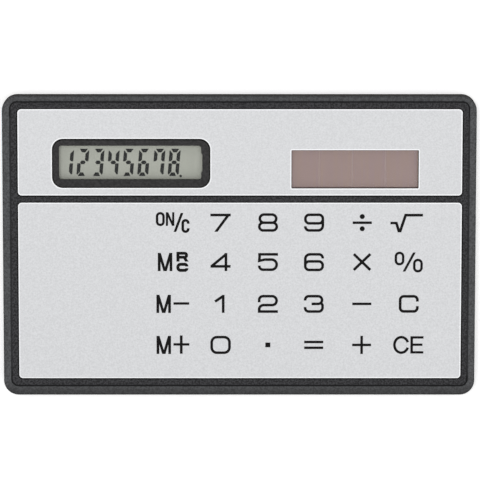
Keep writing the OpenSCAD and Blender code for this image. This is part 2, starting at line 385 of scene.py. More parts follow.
def clear(name, tint, roughness, shine_ahead, shine_along):
    """Clear glass or film: what lies behind it shows, tinted, under a smeared gloss.

    The shares are of light that a face reflects when looked at squarely and when looked along.
    """
    mat = bpy.data.materials.new(name)
    mat.use_nodes = True
    tree = mat.node_tree
    link = tree.links.new
    tree.nodes.remove(tree.nodes["Principled BSDF"])
    see = node(tree, "ShaderNodeBsdfTransparent")
    see.inputs["Color"].default_value = (*tint, 1)
    shine = node(tree, "ShaderNodeBsdfGlossy")
    facing = node(tree, "ShaderNodeLayerWeight", Blend=0.5)
    steep = node(tree, "ShaderNodeMath", operation="POWER")
    steep.inputs[1].default_value = 5
    share = map_range(tree, shine_ahead, shine_along)
    smear = node(tree, "ShaderNodeTexNoise", Scale=90.0, Detail=4.0)
    spread = map_range(tree, roughness * 0.5, roughness * 1.5)
    where = node(tree, "ShaderNodeTexCoord")
    mix = node(tree, "ShaderNodeMixShader")
    link(where.outputs["Object"], smear.inputs["Vector"])
    link(smear.outputs["Fac"], spread.inputs["Value"])
    link(spread.outputs["Result"], shine.inputs["Roughness"])
    link(facing.outputs["Facing"], steep.inputs[0])
    link(steep.outputs["Value"], share.inputs["Value"])
    link(share.outputs["Result"], mix.inputs["Fac"])
    link(see.outputs["BSDF"], mix.inputs[1])
    link(shine.outputs["BSDF"], mix.inputs[2])
    link(mix.outputs["Shader"], tree.nodes["Material Output"].inputs["Surface"])
    return mat


SILVER = srgb(202, 203, 205)


def tone(colour, factor):
    return tuple(c * factor for c in colour)


def speckled(name, colour, roughness, size, tones, bump, metallic=0.0, specular=None, **texture):
    """A material with a grain of that size in mm, between two shares of its own colour."""
    sockets = {} if specular is None else {"Specular_IOR_Level": specular}
    mat = material(name, colour, roughness, metallic, **sockets)
    return grain(mat, size, tone(colour, tones[0]), tone(colour, tones[1]), bump, **texture)


def make_materials():
    m = {}
    m["film"] = speckled("silver_film", SILVER, 0.5, 0.3, (0.9, 1.1), 0.35,
                         metallic=0.25, rough=(0.42, 0.6), detail=2.0)
    m["sheet"] = speckled("silver_sheet", SILVER, 0.45, 0.3, (0.87, 1.06), 0.4,
                          metallic=0.3, rough=(0.38, 0.58), detail=2.0)
    # Painted highlight: the sheets' rounded cut edges and a thin border inside them are drawn near white,
    # standing in for the light they catch.
    m["cut"] = speckled("cut_edge_painted_highlight", srgb(232, 233, 235), 0.35, 0.3, (0.96, 1.0), 0.1,
                        metallic=0.3)
    m["ink"] = speckled("black_ink", srgb(20, 19, 19), 0.6, 0.1, (0.7, 1.5), 0.1, specular=0.05)
    m["rim"] = speckled("rim_plastic", srgb(64, 65, 67), 0.42, 0.3, (0.6, 1.4), 0.15,
                        specular=0.25, rough=(0.36, 0.5), spread_to=0.08)
    # Painted shade: the rim is drawn darker towards its top and bottom runs, which stand in more shade than
    # its sides.
    shade_ends(m["rim"], "Y", (-25.2, -26.7), (25.2, 26.7), 0.55, 0.78)
    # Painted shade: the side walls of the bezel and the rear cover are drawn darker than the rim's plastic,
    # as they stand in shade; their matte grain is their own.
    m["side"] = speckled("side_wall_painted_shade", srgb(31, 27, 25), 0.7, 0.2, (0.8, 1.2), 0.5,
                         specular=0.05)
    m["band"] = speckled("textured_band_plastic", srgb(47, 47, 49), 0.6, 0.3, (0.4, 1.7), 0.8,
                         specular=0.15, rough=(0.5, 0.75), spread_to=0.08)
    m["groove"] = speckled("groove_plastic", srgb(51, 51, 53), 0.7, 0.2, (0.8, 1.2), 0.3,
                           specular=0.15)
    # Painted shade: the groove darkens towards its top and bottom runs, which lie in deeper shade than its
    # sides.
    shade_ends(m["groove"], "Y", (-22.8, -23.4), (23.2, 23.8), 0.35, 0.3)
    # Painted shade: a near-black plastic put on edges and gaps that fall in shade: round the sheets'
    # openings in the bezel, round the display frame, and round the solar cells, where it is partly a real
    # edge seal.
    m["shade"] = speckled("painted_shade_plastic", srgb(12, 11, 11), 0.8, 0.2, (0.8, 1.2), 0.1,
                          specular=0.05)
    m["back"] = speckled("rear_cover_plastic", srgb(38, 38, 40), 0.6, 0.28, (0.85, 1.15), 0.8,
                         rough=(0.5, 0.7))
    m["surround"] = speckled("surround_plastic", srgb(40, 39, 40), 0.38, 0.35, (0.6, 1.5), 0.15,
                             specular=0.15, rough=(0.32, 0.46), spread_to=0.1)
    m["post"] = speckled("key_post", srgb(120, 122, 126), 0.6, 0.4, (0.9, 1.1), 0.1)
    m["lens"] = clear("clear_lens", (0.98, 0.985, 0.98), 0.06, 0.003, 0.6)
    m["solar"] = clear("solar_glass", (0.97, 0.96, 0.955), 0.08, 0.002, 0.6)
    m["glass"] = clear("display_glass", (0.975, 0.985, 0.98), 0.1, 0.001, 0.15)
    m["polariser"] = clear("polariser_film", (0.965, 0.97, 0.96), 0.3, 0.001, 0.15)
    m["lcd"] = speckled("display_ground", srgb(180, 179, 172), 0.55, 0.25, (0.96, 1.04), 0.05)
    # Painted light: the display ground is drawn lighter near the window's edges, to lift the shade that the
    # frame casts there.
    left, right, bottom, top = grow(cad_box("display_lens"), -0.6)[:4]
    shade_ends(m["lcd"], "X", (left + 1, left), (right - 1.5, right), 1.15, 1.2)
    shade_ends(m["lcd"], "Y", (bottom + 1, bottom), (top - 1, top), 1.02, 1.15)
    m["segment"] = speckled("display_segment", srgb(50, 50, 51), 0.5, 0.2, (0.9, 1.1), 0.05,
                            specular=0.1)
    m["cells"] = grain(material("solar_silicon", srgb(145, 125, 121), 0.35), 0.3,
                       srgb(144, 124, 126), srgb(148, 127, 118), 0.05, detail=2.0,
                       stretch=(1, 40, 1))
    # Painted light: the cells are drawn lighter near the window's edges, to lift the shade of the window's
    # walls.
    left, right, bottom, top = cad_box("solar_glass")[:4]
    shade_ends(m["cells"], "X", (left + 0.7, left + 0.1), (right - 0.7, right - 0.1), 1.12, 1.08)
    shade_ends(m["cells"], "Y", (bottom + 0.7, bottom + 0.1), (top - 0.5, top - 0.1), 1.12, 1.1)
    m["cell_line"] = speckled("cell_paint_line", srgb(164, 147, 143), 0.6, 0.2, (0.95, 1.05), 0.2)
    return m


M = make_materials()

# ---------------------------------------------------------------- places, in mm

CASE = cad_box("front_bezel")
PARTING, CASE_TOP = CASE[4:]
CORNER_R = 2.7
# The rear cover's lip stands in this opening of the bezel
OPENING = (-38.6, 38.6, -22.9, 23.3)
SEAM, CASE_EDGE_R = 0.06, 0.35
SCREWS = [(sx * 40.1, sy * 24.9) for sx in (-1, 1) for sy in (-1, 1)]
PANEL = grow(cad_box("upper_panel"), 0.02)
FILM = grow(cad_box("keypad_film"), 0.02)
FACE = (FILM[0], FILM[1], FILM[2], PANEL[3])
# The silver sheets: corner, rounding of the cut edge and width of its bright border, a painted highlight
SKIN_LOW, SKIN_TOP = cad_box("upper_panel")[4:]
SKIN_R, SKIN_EDGE_R, HIGHLIGHT_W = 0.7, 0.05, 0.16
LEDGE = cad_box("carrier_plate")[4]
SURROUND = cad_box("display_surround")
# The textured band round the face, and the groove between it and the rim
BAND_Z = SURROUND[5]
BAND_W, BAND_RIGHT, GROOVE_W, GROOVE_D = 1.2, 1.06, 0.2, 0.15
SOLAR = cad_box("solar_glass")
SOLAR_HOLE = (SOLAR[0] - 0.03, SOLAR[1] + 0.05, SOLAR[2] - 0.08, SOLAR[3] + 0.1)
LENS = cad_box("display_lens")
WINDOW = (LENS[0] + 0.45, LENS[1] - 0.57, LENS[2] + 0.45, LENS[3] - 0.45)


# ---------------------------------------------------------------- case

def sheet_openings(b, slot):
    """The two openings of the bezel's face that the silver sheets lie in, as rings from the top."""
    edge_r = 0.16
    openings = []
    for box in (PANEL, FILM):
        rows = []
        for s, c in arc_steps(3):
            d = edge_r * (1 - s)
            rows.append(b.box_ring(grow(box, d), SKIN_R + d, BAND_Z - edge_r * (1 - c)))
        rows.append(b.box_ring(box, SKIN_R, SKIN_LOW))
        b.walls(rows, slot=slot)
        openings.append(rows)
    return openings


def screw_bores(b):
    """Blind holes up into the bezel, as the rings at their mouths."""
    r, depth = 0.62, 0.85
    mouths = []
    for x, y in SCREWS:
        low, high = (b.ring(circle(x, y, r), z) for z in (PARTING, PARTING + depth))
        b.walls([low, high])
        b.flat(high, up=False)
        mouths.append(low)
    return mouths


def front_bezel():
    """Rim, groove, textured band and crossbar, hollow underneath as moulded."""
    b = Builder()
    groove, band, side, shade = 1, 2, 3, 4
    groove_r, band_r, pocket_r, opening_r = 1.3, 1.1, 0.8, 1.5
    lip_r, band_edge_r, crown = 0.14, 0.06, 0.05
    side_rings = 5
    band_box = (FACE[0] - BAND_W, FACE[1] + BAND_RIGHT, FACE[2] - BAND_W, FACE[3] + BAND_W)
    groove_box = grow(band_box, GROOVE_W)
    groove_low = BAND_Z - GROOVE_D

    foot = b.box_ring(grow(CASE, -SEAM), CORNER_R - SEAM, PARTING)
    wall = [foot] + [b.ring(p, z) for p, z in edge_profile(
        CASE, CORNER_R, CASE_EDGE_R, PARTING + SEAM, CASE_TOP - crown, 7)]
    inner_edge = []
    for s, c in arc_steps(4):
        d = lip_r * (1 - s)
        inner_edge.append(b.box_ring(grow(groove_box, d), groove_r + d, CASE_TOP - lip_r * (1 - c)))
    # The lower rings of the outer wall are drawn in the side walls' painted shade.
    b.walls(wall[:side_rings], slot=side)
    b.walls(wall[side_rings - 1:])
    b.walls([wall[-1], inner_edge[0]])
    b.walls(inner_edge)
    outer_foot = b.box_ring(groove_box, groove_r, groove_low)
    b.walls([inner_edge[-1], outer_foot], slot=groove)
    band_foot = b.box_ring(band_box, band_r, groove_low)
    b.walls([outer_foot, band_foot], slot=groove)
    band_edge = [band_foot]
    for s, c in arc_steps(3):
        d = band_edge_r * (1 - c)
        band_edge.append(b.box_ring(grow(band_box, -d), band_r - d, BAND_Z - band_edge_r * (1 - s)))
    b.walls(band_edge[:2], slot=groove)
    b.walls(band_edge[1:], slot=band)

    # The openings' rounded edges down to the sheets are drawn in painted shade, a dark line where the band
    # steps down.
    openings = sheet_openings(b, shade)
    b.flat(band_edge[-1], [rows[0] for rows in openings], slot=band)

    pocket = grow(FACE, 0.1)
    pocket_top, pocket_low = (b.box_ring(pocket, pocket_r, z) for z in (SKIN_LOW, LEDGE))
    b.flat(pocket_top, [rows[-1] for rows in openings], up=False)
    b.walls([pocket_top, pocket_low])
    ledge_in, ledge_low = (b.box_ring(OPENING, opening_r, z) for z in (LEDGE, PARTING))
    b.flat(pocket_low, [ledge_in])
    b.walls([ledge_in, ledge_low])
    b.flat(foot, [ledge_low, *screw_bores(b)], up=False)
    return b.done("front_bezel_shell", [M["rim"], M["groove"], M["band"], M["side"], M["shade"]],
                  "front_bezel")


def rear_cover():
    """Tray with a rounded outer edge, a lip inside the bezel, board posts and screw holes."""
    b = Builder()
    lip_box = grow(OPENING, -0.05)
    tray_box = grow(lip_box, -0.5)
    lip_r, tray_r, chamfer, tray_chamfer = 1.45, 1, 0.08, 0.05
    floor_z, lip_top = 0.7, PARTING + 0.4
    wall = []
    for s, c in arc_steps(7):
        d = CASE_EDGE_R * (1 - s)
        wall.append(b.box_ring(grow(CASE, -d), CORNER_R - d, CASE_EDGE_R * (1 - c)))
    wall.append(b.box_ring(CASE, CORNER_R, PARTING - SEAM))
    wall.append(b.box_ring(grow(CASE, -SEAM), CORNER_R - SEAM, PARTING))
    # The outer wall is drawn in the side walls' painted shade.
    b.walls(wall, slot=1)
    lip = [b.box_ring(lip_box, lip_r, PARTING), b.box_ring(lip_box, lip_r, lip_top - chamfer),
           b.box_ring(grow(lip_box, -chamfer), lip_r - chamfer, lip_top)]
    tray = [b.box_ring(grow(tray_box, tray_chamfer), tray_r, lip_top),
            b.box_ring(tray_box, tray_r, lip_top - tray_chamfer),
            b.box_ring(tray_box, tray_r, floor_z)]
    b.walls(lip + tray)

    # Radius and height of each ring of a countersunk screw hole
    countersink = ((1.19, 0), (1.15, 0.04), (1.15, 0.06), (0.65, 0.56), (0.65, PARTING))
    heads, necks = [], []
    for x, y in SCREWS:
        rows = [b.ring(circle(x, y, r), z) for r, z in countersink]
        b.walls(rows)
        heads.append(rows[0])
        necks.append(rows[-1])
    b.flat(wall[0], heads, up=False)
    b.flat(wall[-1], [lip[0], *necks])

    board_low, glass_low, tape_low = (cad_box(name)[4] for name in
                                      ("circuit_board", "rear_glass", "solar_tape"))
    stands = [(circle(x, y, 1, 24), board_low) for x in (-36, 0, 36) for y in (-20.5, 6.8)]
    stands += [(outline((x, x + 0.8, 12, 18.5), 0.1, 2), glass_low) for x in (-34.2, -5.8)]
    stands += [(outline((x, x + 2.4, 12.8, 16.4), 0.2, 3), tape_low) for x in (13, 26.5)]
    feet = []
    for points, top in stands:
        low, high = b.ring(points, floor_z), b.ring(points, top)
        b.walls([low, high])
        b.flat(high)
        feet.append(low)
    b.flat(tray[-1], feet)
    return b.done("rear_cover_shell", [M["back"], M["side"]], "rear_cover")


def sheet_rows(b, area, r, sign, highlight_r=None):
    """Rings of a silver sheet's edge: inside its bright border of painted highlight, over its rounding and
    its foot.

    The sign is -1 for the sheet's outline and 1 for an opening.
    """
    inside = sign * (SKIN_EDGE_R + HIGHLIGHT_W)
    rows = [b.box_ring(grow(area, inside), highlight_r or max(r + inside, 0.05), SKIN_TOP)]
    for s, c in arc_steps(3):
        d = sign * SKIN_EDGE_R * (1 - s)
        rows.append(b.box_ring(grow(area, d), max(r + d, 0.02), SKIN_TOP - SKIN_EDGE_R * (1 - c)))
    rows.append(b.box_ring(area, r, SKIN_LOW))
    return rows


def upper_sheet():
    """The silver sheet round the display and the solar cell, with rounded cut edges in painted highlight."""
    b = Builder()
    outer = sheet_rows(b, grow(PANEL, -0.02), SKIN_R, -1)
    holes = [sheet_rows(b, area, r, 1)
             for area, r in ((grow(SURROUND, 0.05), 1.95), (SOLAR_HOLE, 0.15))]
    for rows in [outer, *holes]:
        b.walls(rows[:2], slot=1, smooth=False)
        b.walls(rows[1:], slot=1)
    b.flat(outer[0], [rows[0] for rows in holes])
    b.flat(outer[-1], [rows[-1] for rows in holes], up=False)
    return b.done("upper_sheet", [M["sheet"], M["cut"]], "upper_panel")


# ---------------------------------------------------------------- display

# Heights between which the window's right edge is stepped out, and by how much
BAY, BAY_DEPTH = (13.6, 16.9), 0.2
FRAME_GAP = 0.05
# Clear layers that touch in the CAD stand this far apart, so that each has faces of its own
LAYER_GAP = 0.005
CELL_PITCH, CELL_SPLIT = 6, 0.16
# The bars that are lit for each digit: a on top, then clockwise to f, with g in the middle
LIT = {"1": "bc", "2": "abged", "3": "abgcd", "4": "fgbc", "5": "afgcd", "6": "afgedc", "7": "abcf",
       "8": "abcdefg"}
DIGITS = {"right": -11.05, "low": 12.66, "height": 5.0, "width": 2.0, "pitch": 2.765,
          "lean": math.tan(math.radians(4.75))}


def with_bay(points, depth):
    """An outline whose right edge is stepped out by depth between the two heights of BAY."""
    corner = CORNER_STEPS + 1
    x = points[corner][0]
    low, high = BAY
    ramp = 0.15
    bay = [(x, low - ramp), (x + depth, low + ramp), (x + depth, high - ramp), (x, high + ramp)]
    return points[:corner] + bay + points[corner:]


def display_frame():
    """The black frame round the window, with rounded outer and inner top edges."""
    b = Builder()
    low, high = SURROUND[4:]
    edge_r, steps = 0.12, 5
    outside = edge_profile(grow(SURROUND, -FRAME_GAP), 1.9, edge_r, low, high, steps)
    inside = edge_profile(WINDOW, 0.5, edge_r, low, high, steps, inward=False)
    outer = [b.ring(with_bay(points, 0), z) for points, z in outside]
    inner = [b.ring(with_bay(points, BAY_DEPTH), z) for points, z in inside]
    # The outer wall and its rounding are drawn in painted shade, a dark line round the frame.
    b.walls(outer, slot=1)
    b.walls([outer[-1], inner[-1]], smooth=False)
    b.walls(inner)
    b.walls([outer[0], inner[0]])
    return b.done("display_frame", [M["surround"], M["shade"]], "display_surround")


def see_through(obj):
    """Lets light reach what lies behind a clear piece without a shadow of the piece itself."""
    obj.visible_shadow = False
    obj.visible_diffuse = False
    return obj


def plate(name, replaced, box, r, low, high, edge, mat):
    """A flat plate with rounded edges on its top and a small chamfer below."""
    b = Builder()
    rows = [b.box_ring(grow(box, -edge / 2), max(r - edge / 2, 0.02), low)]
    rows += [b.ring(p, z) for p, z in edge_profile(box, r, edge, low + edge / 2, high, 3)]
    b.walls(rows)
    b.flat(rows[0], up=False)
    b.flat(rows[-1])
    return b.done(name, [mat], replaced)


def digit_polygons(text, right, low, height, width, pitch, lean):
    """Seven-bar digits, cut off at the corners and leaning to the right, as flat polygons."""
    side_t, level_t, half, middle = 0.64, 0.67, height / 2, width / 2

    def level_bar(centre, outer, inner):
        return [(centre - outer, 0), (centre + outer, 0), (centre + inner, level_t),
                (centre - inner, level_t)]

    upper = [(0, half + 0.17), (side_t * 0.6, half + 0.2), (side_t, half + 0.45),
             (side_t, height - 0.92), (side_t * 0.12, height - 0.3), (0, height - 0.34)]
    lower = [(0, 0.42), (side_t * 0.3, 0.24), (side_t, 0.82), (side_t, half - 0.3),
             (side_t * 0.75, half - 0.17), (0, half - 0.17)]
    shapes = {
        "a": [(x, height - y) for x, y in level_bar(middle, 0.735, 0.3)],
        "d": level_bar(middle - 0.09, 0.63, 0.3),
        "g": [(middle + x, half + y * level_t / 2) for x, y in
              ((-0.5, 0), (-0.28, 1), (0.28, 1), (0.5, 0), (0.28, -1), (-0.28, -1))],
        "f": upper,
        "b": [(width - x, y) for x, y in upper],
        "e": lower,
        "c": [(width - x, y) for x, y in lower],
    }
    polygons = []
    for i, character in enumerate(text):
        left = right - width - (len(text) - 1 - i) * pitch
        for bar_name in LIT[character]:
            polygons.append([(left + x + lean * y, low + y) for x, y in shapes[bar_name]])
    decimal_point = circle(right + 0.38, low, 0.25, 8)
    return polygons + [decimal_point]


def display():
    """The frame, the lens, the clear layers under it and the digits."""
    display_frame()
    see_through(plate("display_window", "display_lens", LENS, 0.8, LENS[4], LENS[5], 0.04,
                      M["lens"]))
    for name, edge, mat, slot in (("front_glass", 0.03, M["glass"], "display_glass"),
                                  ("front_polariser", 0.02, M["polariser"], "polariser")):
        box = cad_box(name)
        see_through(plate("display_" + name, name, box, 0.2, box[4] + LAYER_GAP,
                          box[5] - LAYER_GAP, edge, mat))
    low, high = cad_box("lcd_segments")[4:]
    bm = bmesh.new()
    for polygon in digit_polygons("12345678", **DIGITS):
        add_print(bm, [polygon], low + LAYER_GAP, high - LAYER_GAP, 0)
    bmesh.ops.recalc_face_normals(bm, faces=bm.faces)
    mesh = to_mesh(bm, "display_digits", [M["segment"]])
    on_case("display_digits", mesh, "lcd_segments")


def solar():
    """Glass over four cells on a dark film in painted shade, with a thin paint line between each two cells.
    """
    see_through(plate("solar_window", "solar_glass", SOLAR, 0.12, SOLAR[4] + LAYER_GAP, SOLAR[5],
                      0.05, M["solar"]))
    low, high = cad_box("solar_cells")[4:]
    high -= LAYER_GAP
    film_top = low + 0.015
    line_top = high - 0.01
    b = Builder()

    def slab(box, z_low, z_high, bevel, slot):
        rows = [b.ring(outline(box, 0.01, 1), z_low), b.ring(outline(box, 0.01, 1), z_high - bevel),
                b.ring(outline(grow(box, -bevel), 0.01, 1), z_high)]
        b.walls(rows, slot=slot, smooth=False)
        b.flat(rows[0], up=False, slot=slot)
        b.flat(rows[-1], slot=slot)

    # The film's margin round the cells shows as a dark line: partly a real dark edge seal, partly painted
    # shade in the gap round them.
    slab(grow(SOLAR, 0.1), low, film_top, 0.005, 2)
    x0, x1, y0, y1 = SOLAR[0] + 0.02, SOLAR[1] - 0.02, SOLAR[2] - 0.01, SOLAR[3]
    splits = [SOLAR[1] - CELL_PITCH * i for i in (3, 2, 1)]
    half = CELL_SPLIT / 2
    edges = [x0, *(x for split in splits for x in (split - half, split + half)), x1]
    for i, (left, right) in enumerate(zip(edges, edges[1:])):
        line = i % 2
        top, bevel = (line_top, 0.005) if line else (high, 0.02)
        slab((left, right, y0, y1), film_top - 0.002, top, bevel, line)
    return b.done("solar_cell_row", [M["cells"], M["cell_line"], M["shade"]], "solar_cells")


# ---------------------------------------------------------------- keys and their print

# Stroke widths of the print, and the width and height of its digits
W_DIGIT, W_SIGN = 0.49, 0.47
DIGIT = (3.66, 3.32)
# How far the print's centre stands off the middle of its key, by row and by column
PRINT_RISE = (0.05, 0.32, 0.1, 0.0)
PRINT_SHIFT = (-0.06, -0.01, 0.02, -0.2, -0.05, -0.09)
INK_T = 0.015
FILM_OVER_KEY = 0.12
# The film over a key laps onto the sheet round it, so that no joint shows
LIP_W, LIP_T = 0.05, 0.002
# Half sizes of the film's flat part over a key and of the whole patch that bends
PRESS_X, PRESS_Y = (3.1, 4.2), (2.4, 3.4)
KEY_ROWS = (("on_clear", "7", "8", "9", "divide", "root"),
            ("memory_recall", "4", "5", "6", "times", "percent"),
            ("memory_minus", "1", "2", "3", "minus", "clear"),
            ("memory_plus", "0", "point", "equals", "plus", "clear_entry"))


def lines(size, width, *paths, closed=(), level=True):
    """Strokes of a glyph: each path has points (x, y, corner) as shares of the glyph's size."""
    w, h = size[0] - width, size[1] - width
    out = []
    for i, path in enumerate(paths):
        points = [((x - 0.5) * w, (y - 0.5) * h, rest[0] if rest else 0) for x, y, *rest in path]
        shut = i in closed
        out += stroke(rounded_path(points, shut), width, shut, level)
    return out


def shifted(polygons, dx, dy):
    return [[Vector((p[0] + dx, p[1] + dy)) for p in polygon] for polygon in polygons]


def box_loop(x0, x1, y0, y1, r):
    return [(x0, y0, r), (x1, y0, r), (x1, y1, r), (x0, y1, r)]


def dash(length, width=W_SIGN, x=0.0, y=0.0):
    return [block(x - length / 2, y - width / 2, x + length / 2, y + width / 2)]


def upright(length, width=W_SIGN, x=0.0, y=0.0):
    return [block(x - width / 2, y - length / 2, x + width / 2, y + length / 2)]


def digit(*paths, closed=()):
    return lines(DIGIT, W_DIGIT, *paths, closed=closed)


def open_ring(size, width, opening):
    """A letter C drawn as part of an ellipse, open on the right for that many degrees."""
    rx, ry = (size[0] - width) / 2, (size[1] - width) / 2
    steps = 30
    turn = (360 - opening) / steps
    angles = [math.radians(opening / 2 + turn * i) for i in range(steps + 1)]
    return stroke([Vector((rx * math.cos(a), ry * math.sin(a))) for a in angles], width)


def square_c(size, width, r, end):
    """A letter C with rounded corners, whose two ends stop that share of the height short."""
    return lines(size, width, [(1, 1 - end), (1, 1, r), (0, 1, r), (0, 0, r), (1, 0, r), (1, end)])


def nine(turn=False):
    """A 9, or turned half round a 6."""
    loop = box_loop(0, 1, 0.46, 1.015, 0.7)
    tail = [(1, 0.75), (1, 0, 0.85), (0, 0, 0.68), (0, 0.27)]
    if turn:
        loop, tail = ([(1 - x, 1 - y, *r) for x, y, *r in path] for path in (loop, tail))
    return digit(loop, tail, closed=(0,))


def letter_m():
    stem, w, h = 0.5, 1.32, 1.68
    lean_in = w - stem * 0.58
    return [block(-w, -h, stem - w, h), block(w - stem, -h, w, h),
            bar(stem, -lean_in, h, -0.04, -h), bar(stem, lean_in, h, 0.04, -h)]


def letter_n():
    stem, w, h = 0.4, 0.77, 1.25
    lean_in = w - stem * 0.56
    return [block(-w, -h, stem - w, h), block(w - stem, -h, w, h),
            bar(stem, -lean_in, h, lean_in, -h)]


def digit_print(name):
    w, h = DIGIT[0] / 2, DIGIT[1] / 2
    if name == "0":
        return lines((3.74, 3.38), W_DIGIT, box_loop(0, 1, 0, 1, 0.97), closed=(0,))
    if name == "1":
        flag = stroke([Vector((0.5, 1.45)), Vector((-1.02, 0.42))], W_DIGIT)
        return upright(2 * h, W_DIGIT, 0.48) + flag
    if name == "2":
        top = [(0, 0.6), (0, 1, 0.68), (1, 1, 0.85), (1, 0.42, 0.8), (0, 0.42, 0.8), (0, 0)]
        return digit(top) + [block(-w, -h, w, W_DIGIT - h)]
    if name == "3":
        upper = [(0, 0.72), (0, 1, 0.65), (0.97, 1, 0.72), (0.97, 0.5, 0.7), (0.37, 0.5)]
        lower = [(0.9, 0.5), (1, 0.5, 0.3), (1, 0, 0.75), (0, 0, 0.65), (0, 0.29)]
        return digit(upper, lower)
    if name == "4":
        slant = stroke([Vector((1.07, 1.48)), Vector((-1.62, -0.76))], W_DIGIT)
        return upright(2 * h, W_DIGIT, 0.98) + dash(2 * w, W_DIGIT, 0, -0.8) + slant
    if name == "5":
        bowl = [(0.03, 1), (0, 0.58), (0.32, 0.66, 1.4), (1, 0.66, 0.95), (1, 0, 0.95),
                (0, 0, 0.68), (0, 0.27)]
        return [block(0.05 - w, h - W_DIGIT, w, h)] + digit(bowl)
    if name == "6":
        return nine(turn=True)
    if name == "7":
        return [block(-w - 0.02, h - W_DIGIT, w + 0.02, h), bar(W_DIGIT, 1.6, h, -0.84, -h)]
    if name == "8":
        upper, lower = box_loop(0.03, 0.97, 0.5, 1.03, 0.78), box_loop(0, 1, 0, 0.5, 0.75)
        return digit(upper, lower, closed=(0, 1))
    return nine()


def sign_print(name):
    if name == "point":
        return [block(-0.46, -0.44, 0.46, 0.44)]
    if name == "minus":
        return dash(3.49)
    if name == "plus":
        return dash(3.46) + upright(3.38)
    if name == "equals":
        return dash(3.49, y=0.54) + dash(3.49, y=-0.53)
    if name == "times":
        return lines((3.52, 3.44), 0.5, [(0, 0), (1, 1)], [(0, 1), (1, 0)], level=False)
    if name == "divide":
        return dash(3.49) + [circle(0, y, 0.46, 24) for y in (1.13, -1.1)]
    if name == "root":
        legs = [bar(0.5, -2.42, 0.17, -1.83, -1.77), bar(0.5, -1.72, -1.77, -0.6, 1.64)]
        return [block(-3.44, -0.29, -2.25, 0.17), block(-0.8, 1.14, 2.47, 1.64), *legs]
    if name == "percent":
        ring = lines((1.78, 2.54), 0.45, box_loop(0, 1, 0, 1, 0.67), closed=(0,))
        slash = bar(0.44, -0.91, -1.76, 0.96, 1.76)
        return shifted(ring, -1.74, 0.64) + shifted(ring, 1.62, -0.66) + [slash]
    return word_print(name)


def word_print(name):
    """The keys marked with letters: C, CE, ON/C, M R/C, M- and M+."""
    if name == "clear":
        return square_c((3.64, 3.28), 0.5, 0.66, 0.35)
    if name == "clear_entry":
        e = [block(0.35, -1.6, 0.82, 1.61), block(0.44, 1.17, 2.74, 1.61),
             block(0.44, -0.18, 2.56, 0.26), block(0.44, -1.6, 2.74, -1.16)]
        return shifted(open_ring((3.0, 3.36), 0.48, 40), -1.31, 0) + e
    if name == "on_clear":
        o = lines((1.62, 2.58), 0.45, box_loop(0, 1, 0, 1, 0.56), closed=(0,))
        slash = bar(0.46, 0.35, -1.69, 1.65, 1.79)
        c = square_c((1.48, 2.56), 0.48, 0.5, 0.3)
        return (shifted(o, -2.3, 0.67) + shifted(letter_n(), -0.52, 0.67) + [slash]
                + shifted(c, 2.28, -0.6))
    if name == "memory_recall":
        loop = lines((2.16, 1.8), 0.54, [(0, 1), (0.97, 1, 0.35), (0.97, 0.42, 0.35), (0, 0.42)])
        r = [block(-1.08, -0.9, -0.52, 0.9), bar(0.55, 0.33, -0.1, 0.82, -0.9), *loop]
        c = square_c((2.2, 1.68), 0.57, 0.5, 0.36)
        return shifted(letter_m(), -1.45, 0) + shifted(r, 1.7, 0.98) + shifted(c, 1.7, -0.98)
    m = shifted(letter_m(), -1.72, 0)
    if name == "memory_minus":
        return m + dash(2.87, 0.45, 1.5, 0.07)
    if name == "memory_plus":
        return m + dash(2.92, 0.45, 1.5, 0.1) + upright(3.4, 0.5, 1.47, 0.07)
    raise ValueError(name)


def legend(name):
    """The print on a key, as flat polygons round the print's own centre."""
    return digit_print(name) if name.isdigit() else sign_print(name)


def smoothstep(t):
    t = np.clip(t, 0, 1)
    return t * t * (3 - 2 * t)


def press_weight(dx, dy):
    """How much a point of the film follows its key: 1 over the key, 0 at the patch's edge."""
    across = smoothstep((PRESS_X[1] - np.abs(dx)) / (PRESS_X[1] - PRESS_X[0]))
    along = smoothstep((PRESS_Y[1] - np.abs(dy)) / (PRESS_Y[1] - PRESS_Y[0]))
    return across * along


def bend_steps(flat_to, edge):
    """Positions from lip to lip: fine where the film bends, coarse where it doesn't."""
    bend = [flat_to + (edge - flat_to) * i / 9 for i in range(10)] + [edge + LIP_W]
    return [-v for v in reversed(bend)] + [0] + bend


def film_patch(cx, cy):
    """The film over one key: two layers that meet at the lip round them."""
    bm = bmesh.new()
    xs, ys = bend_steps(*PRESS_X), bend_steps(*PRESS_Y)
    layers = []
    for film_z, lip_z in ((SKIN_TOP + LIP_T, SKIN_TOP + LIP_T),
                          (SKIN_TOP - FILM_OVER_KEY, SKIN_TOP + LIP_T / 4)):
        layer = []
        for y in ys:
            heights = [lip_z if x in (xs[0], xs[-1]) or y in (ys[0], ys[-1]) else film_z
                       for x in xs]
            layer.append([bm.verts.new((cx + x, cy + y, z)) for x, z in zip(xs, heights)])
        layers.append(layer)
    last_x, last_y = len(xs) - 1, len(ys) - 1
    for layer, up in zip(layers, (True, False)):
        for j in range(last_y):
            for i in range(last_x):
                quad = [layer[j][i], layer[j][i + 1], layer[j + 1][i + 1], layer[j + 1][i]]
                bm.faces.new(quad if up else quad[::-1]).smooth = True
    top, low = layers
    border = [(0, i) for i in range(last_x + 1)] + [(j, last_x) for j in range(1, last_y + 1)]
    border += [(last_y, i) for i in range(last_x - 1, -1, -1)]
    border += [(j, 0) for j in range(last_y - 1, 0, -1)]
    for (j, i), (next_j, next_i) in zip(border, border[1:] + border[:1]):
        bm.faces.new((low[j][i], low[next_j][next_i], top[next_j][next_i], top[j][i]))
    bmesh.ops.recalc_face_normals(bm, faces=bm.faces)
    for edge in bm.edges:
        edge.smooth = edge.calc_face_angle(0) < SHARP
    return bm


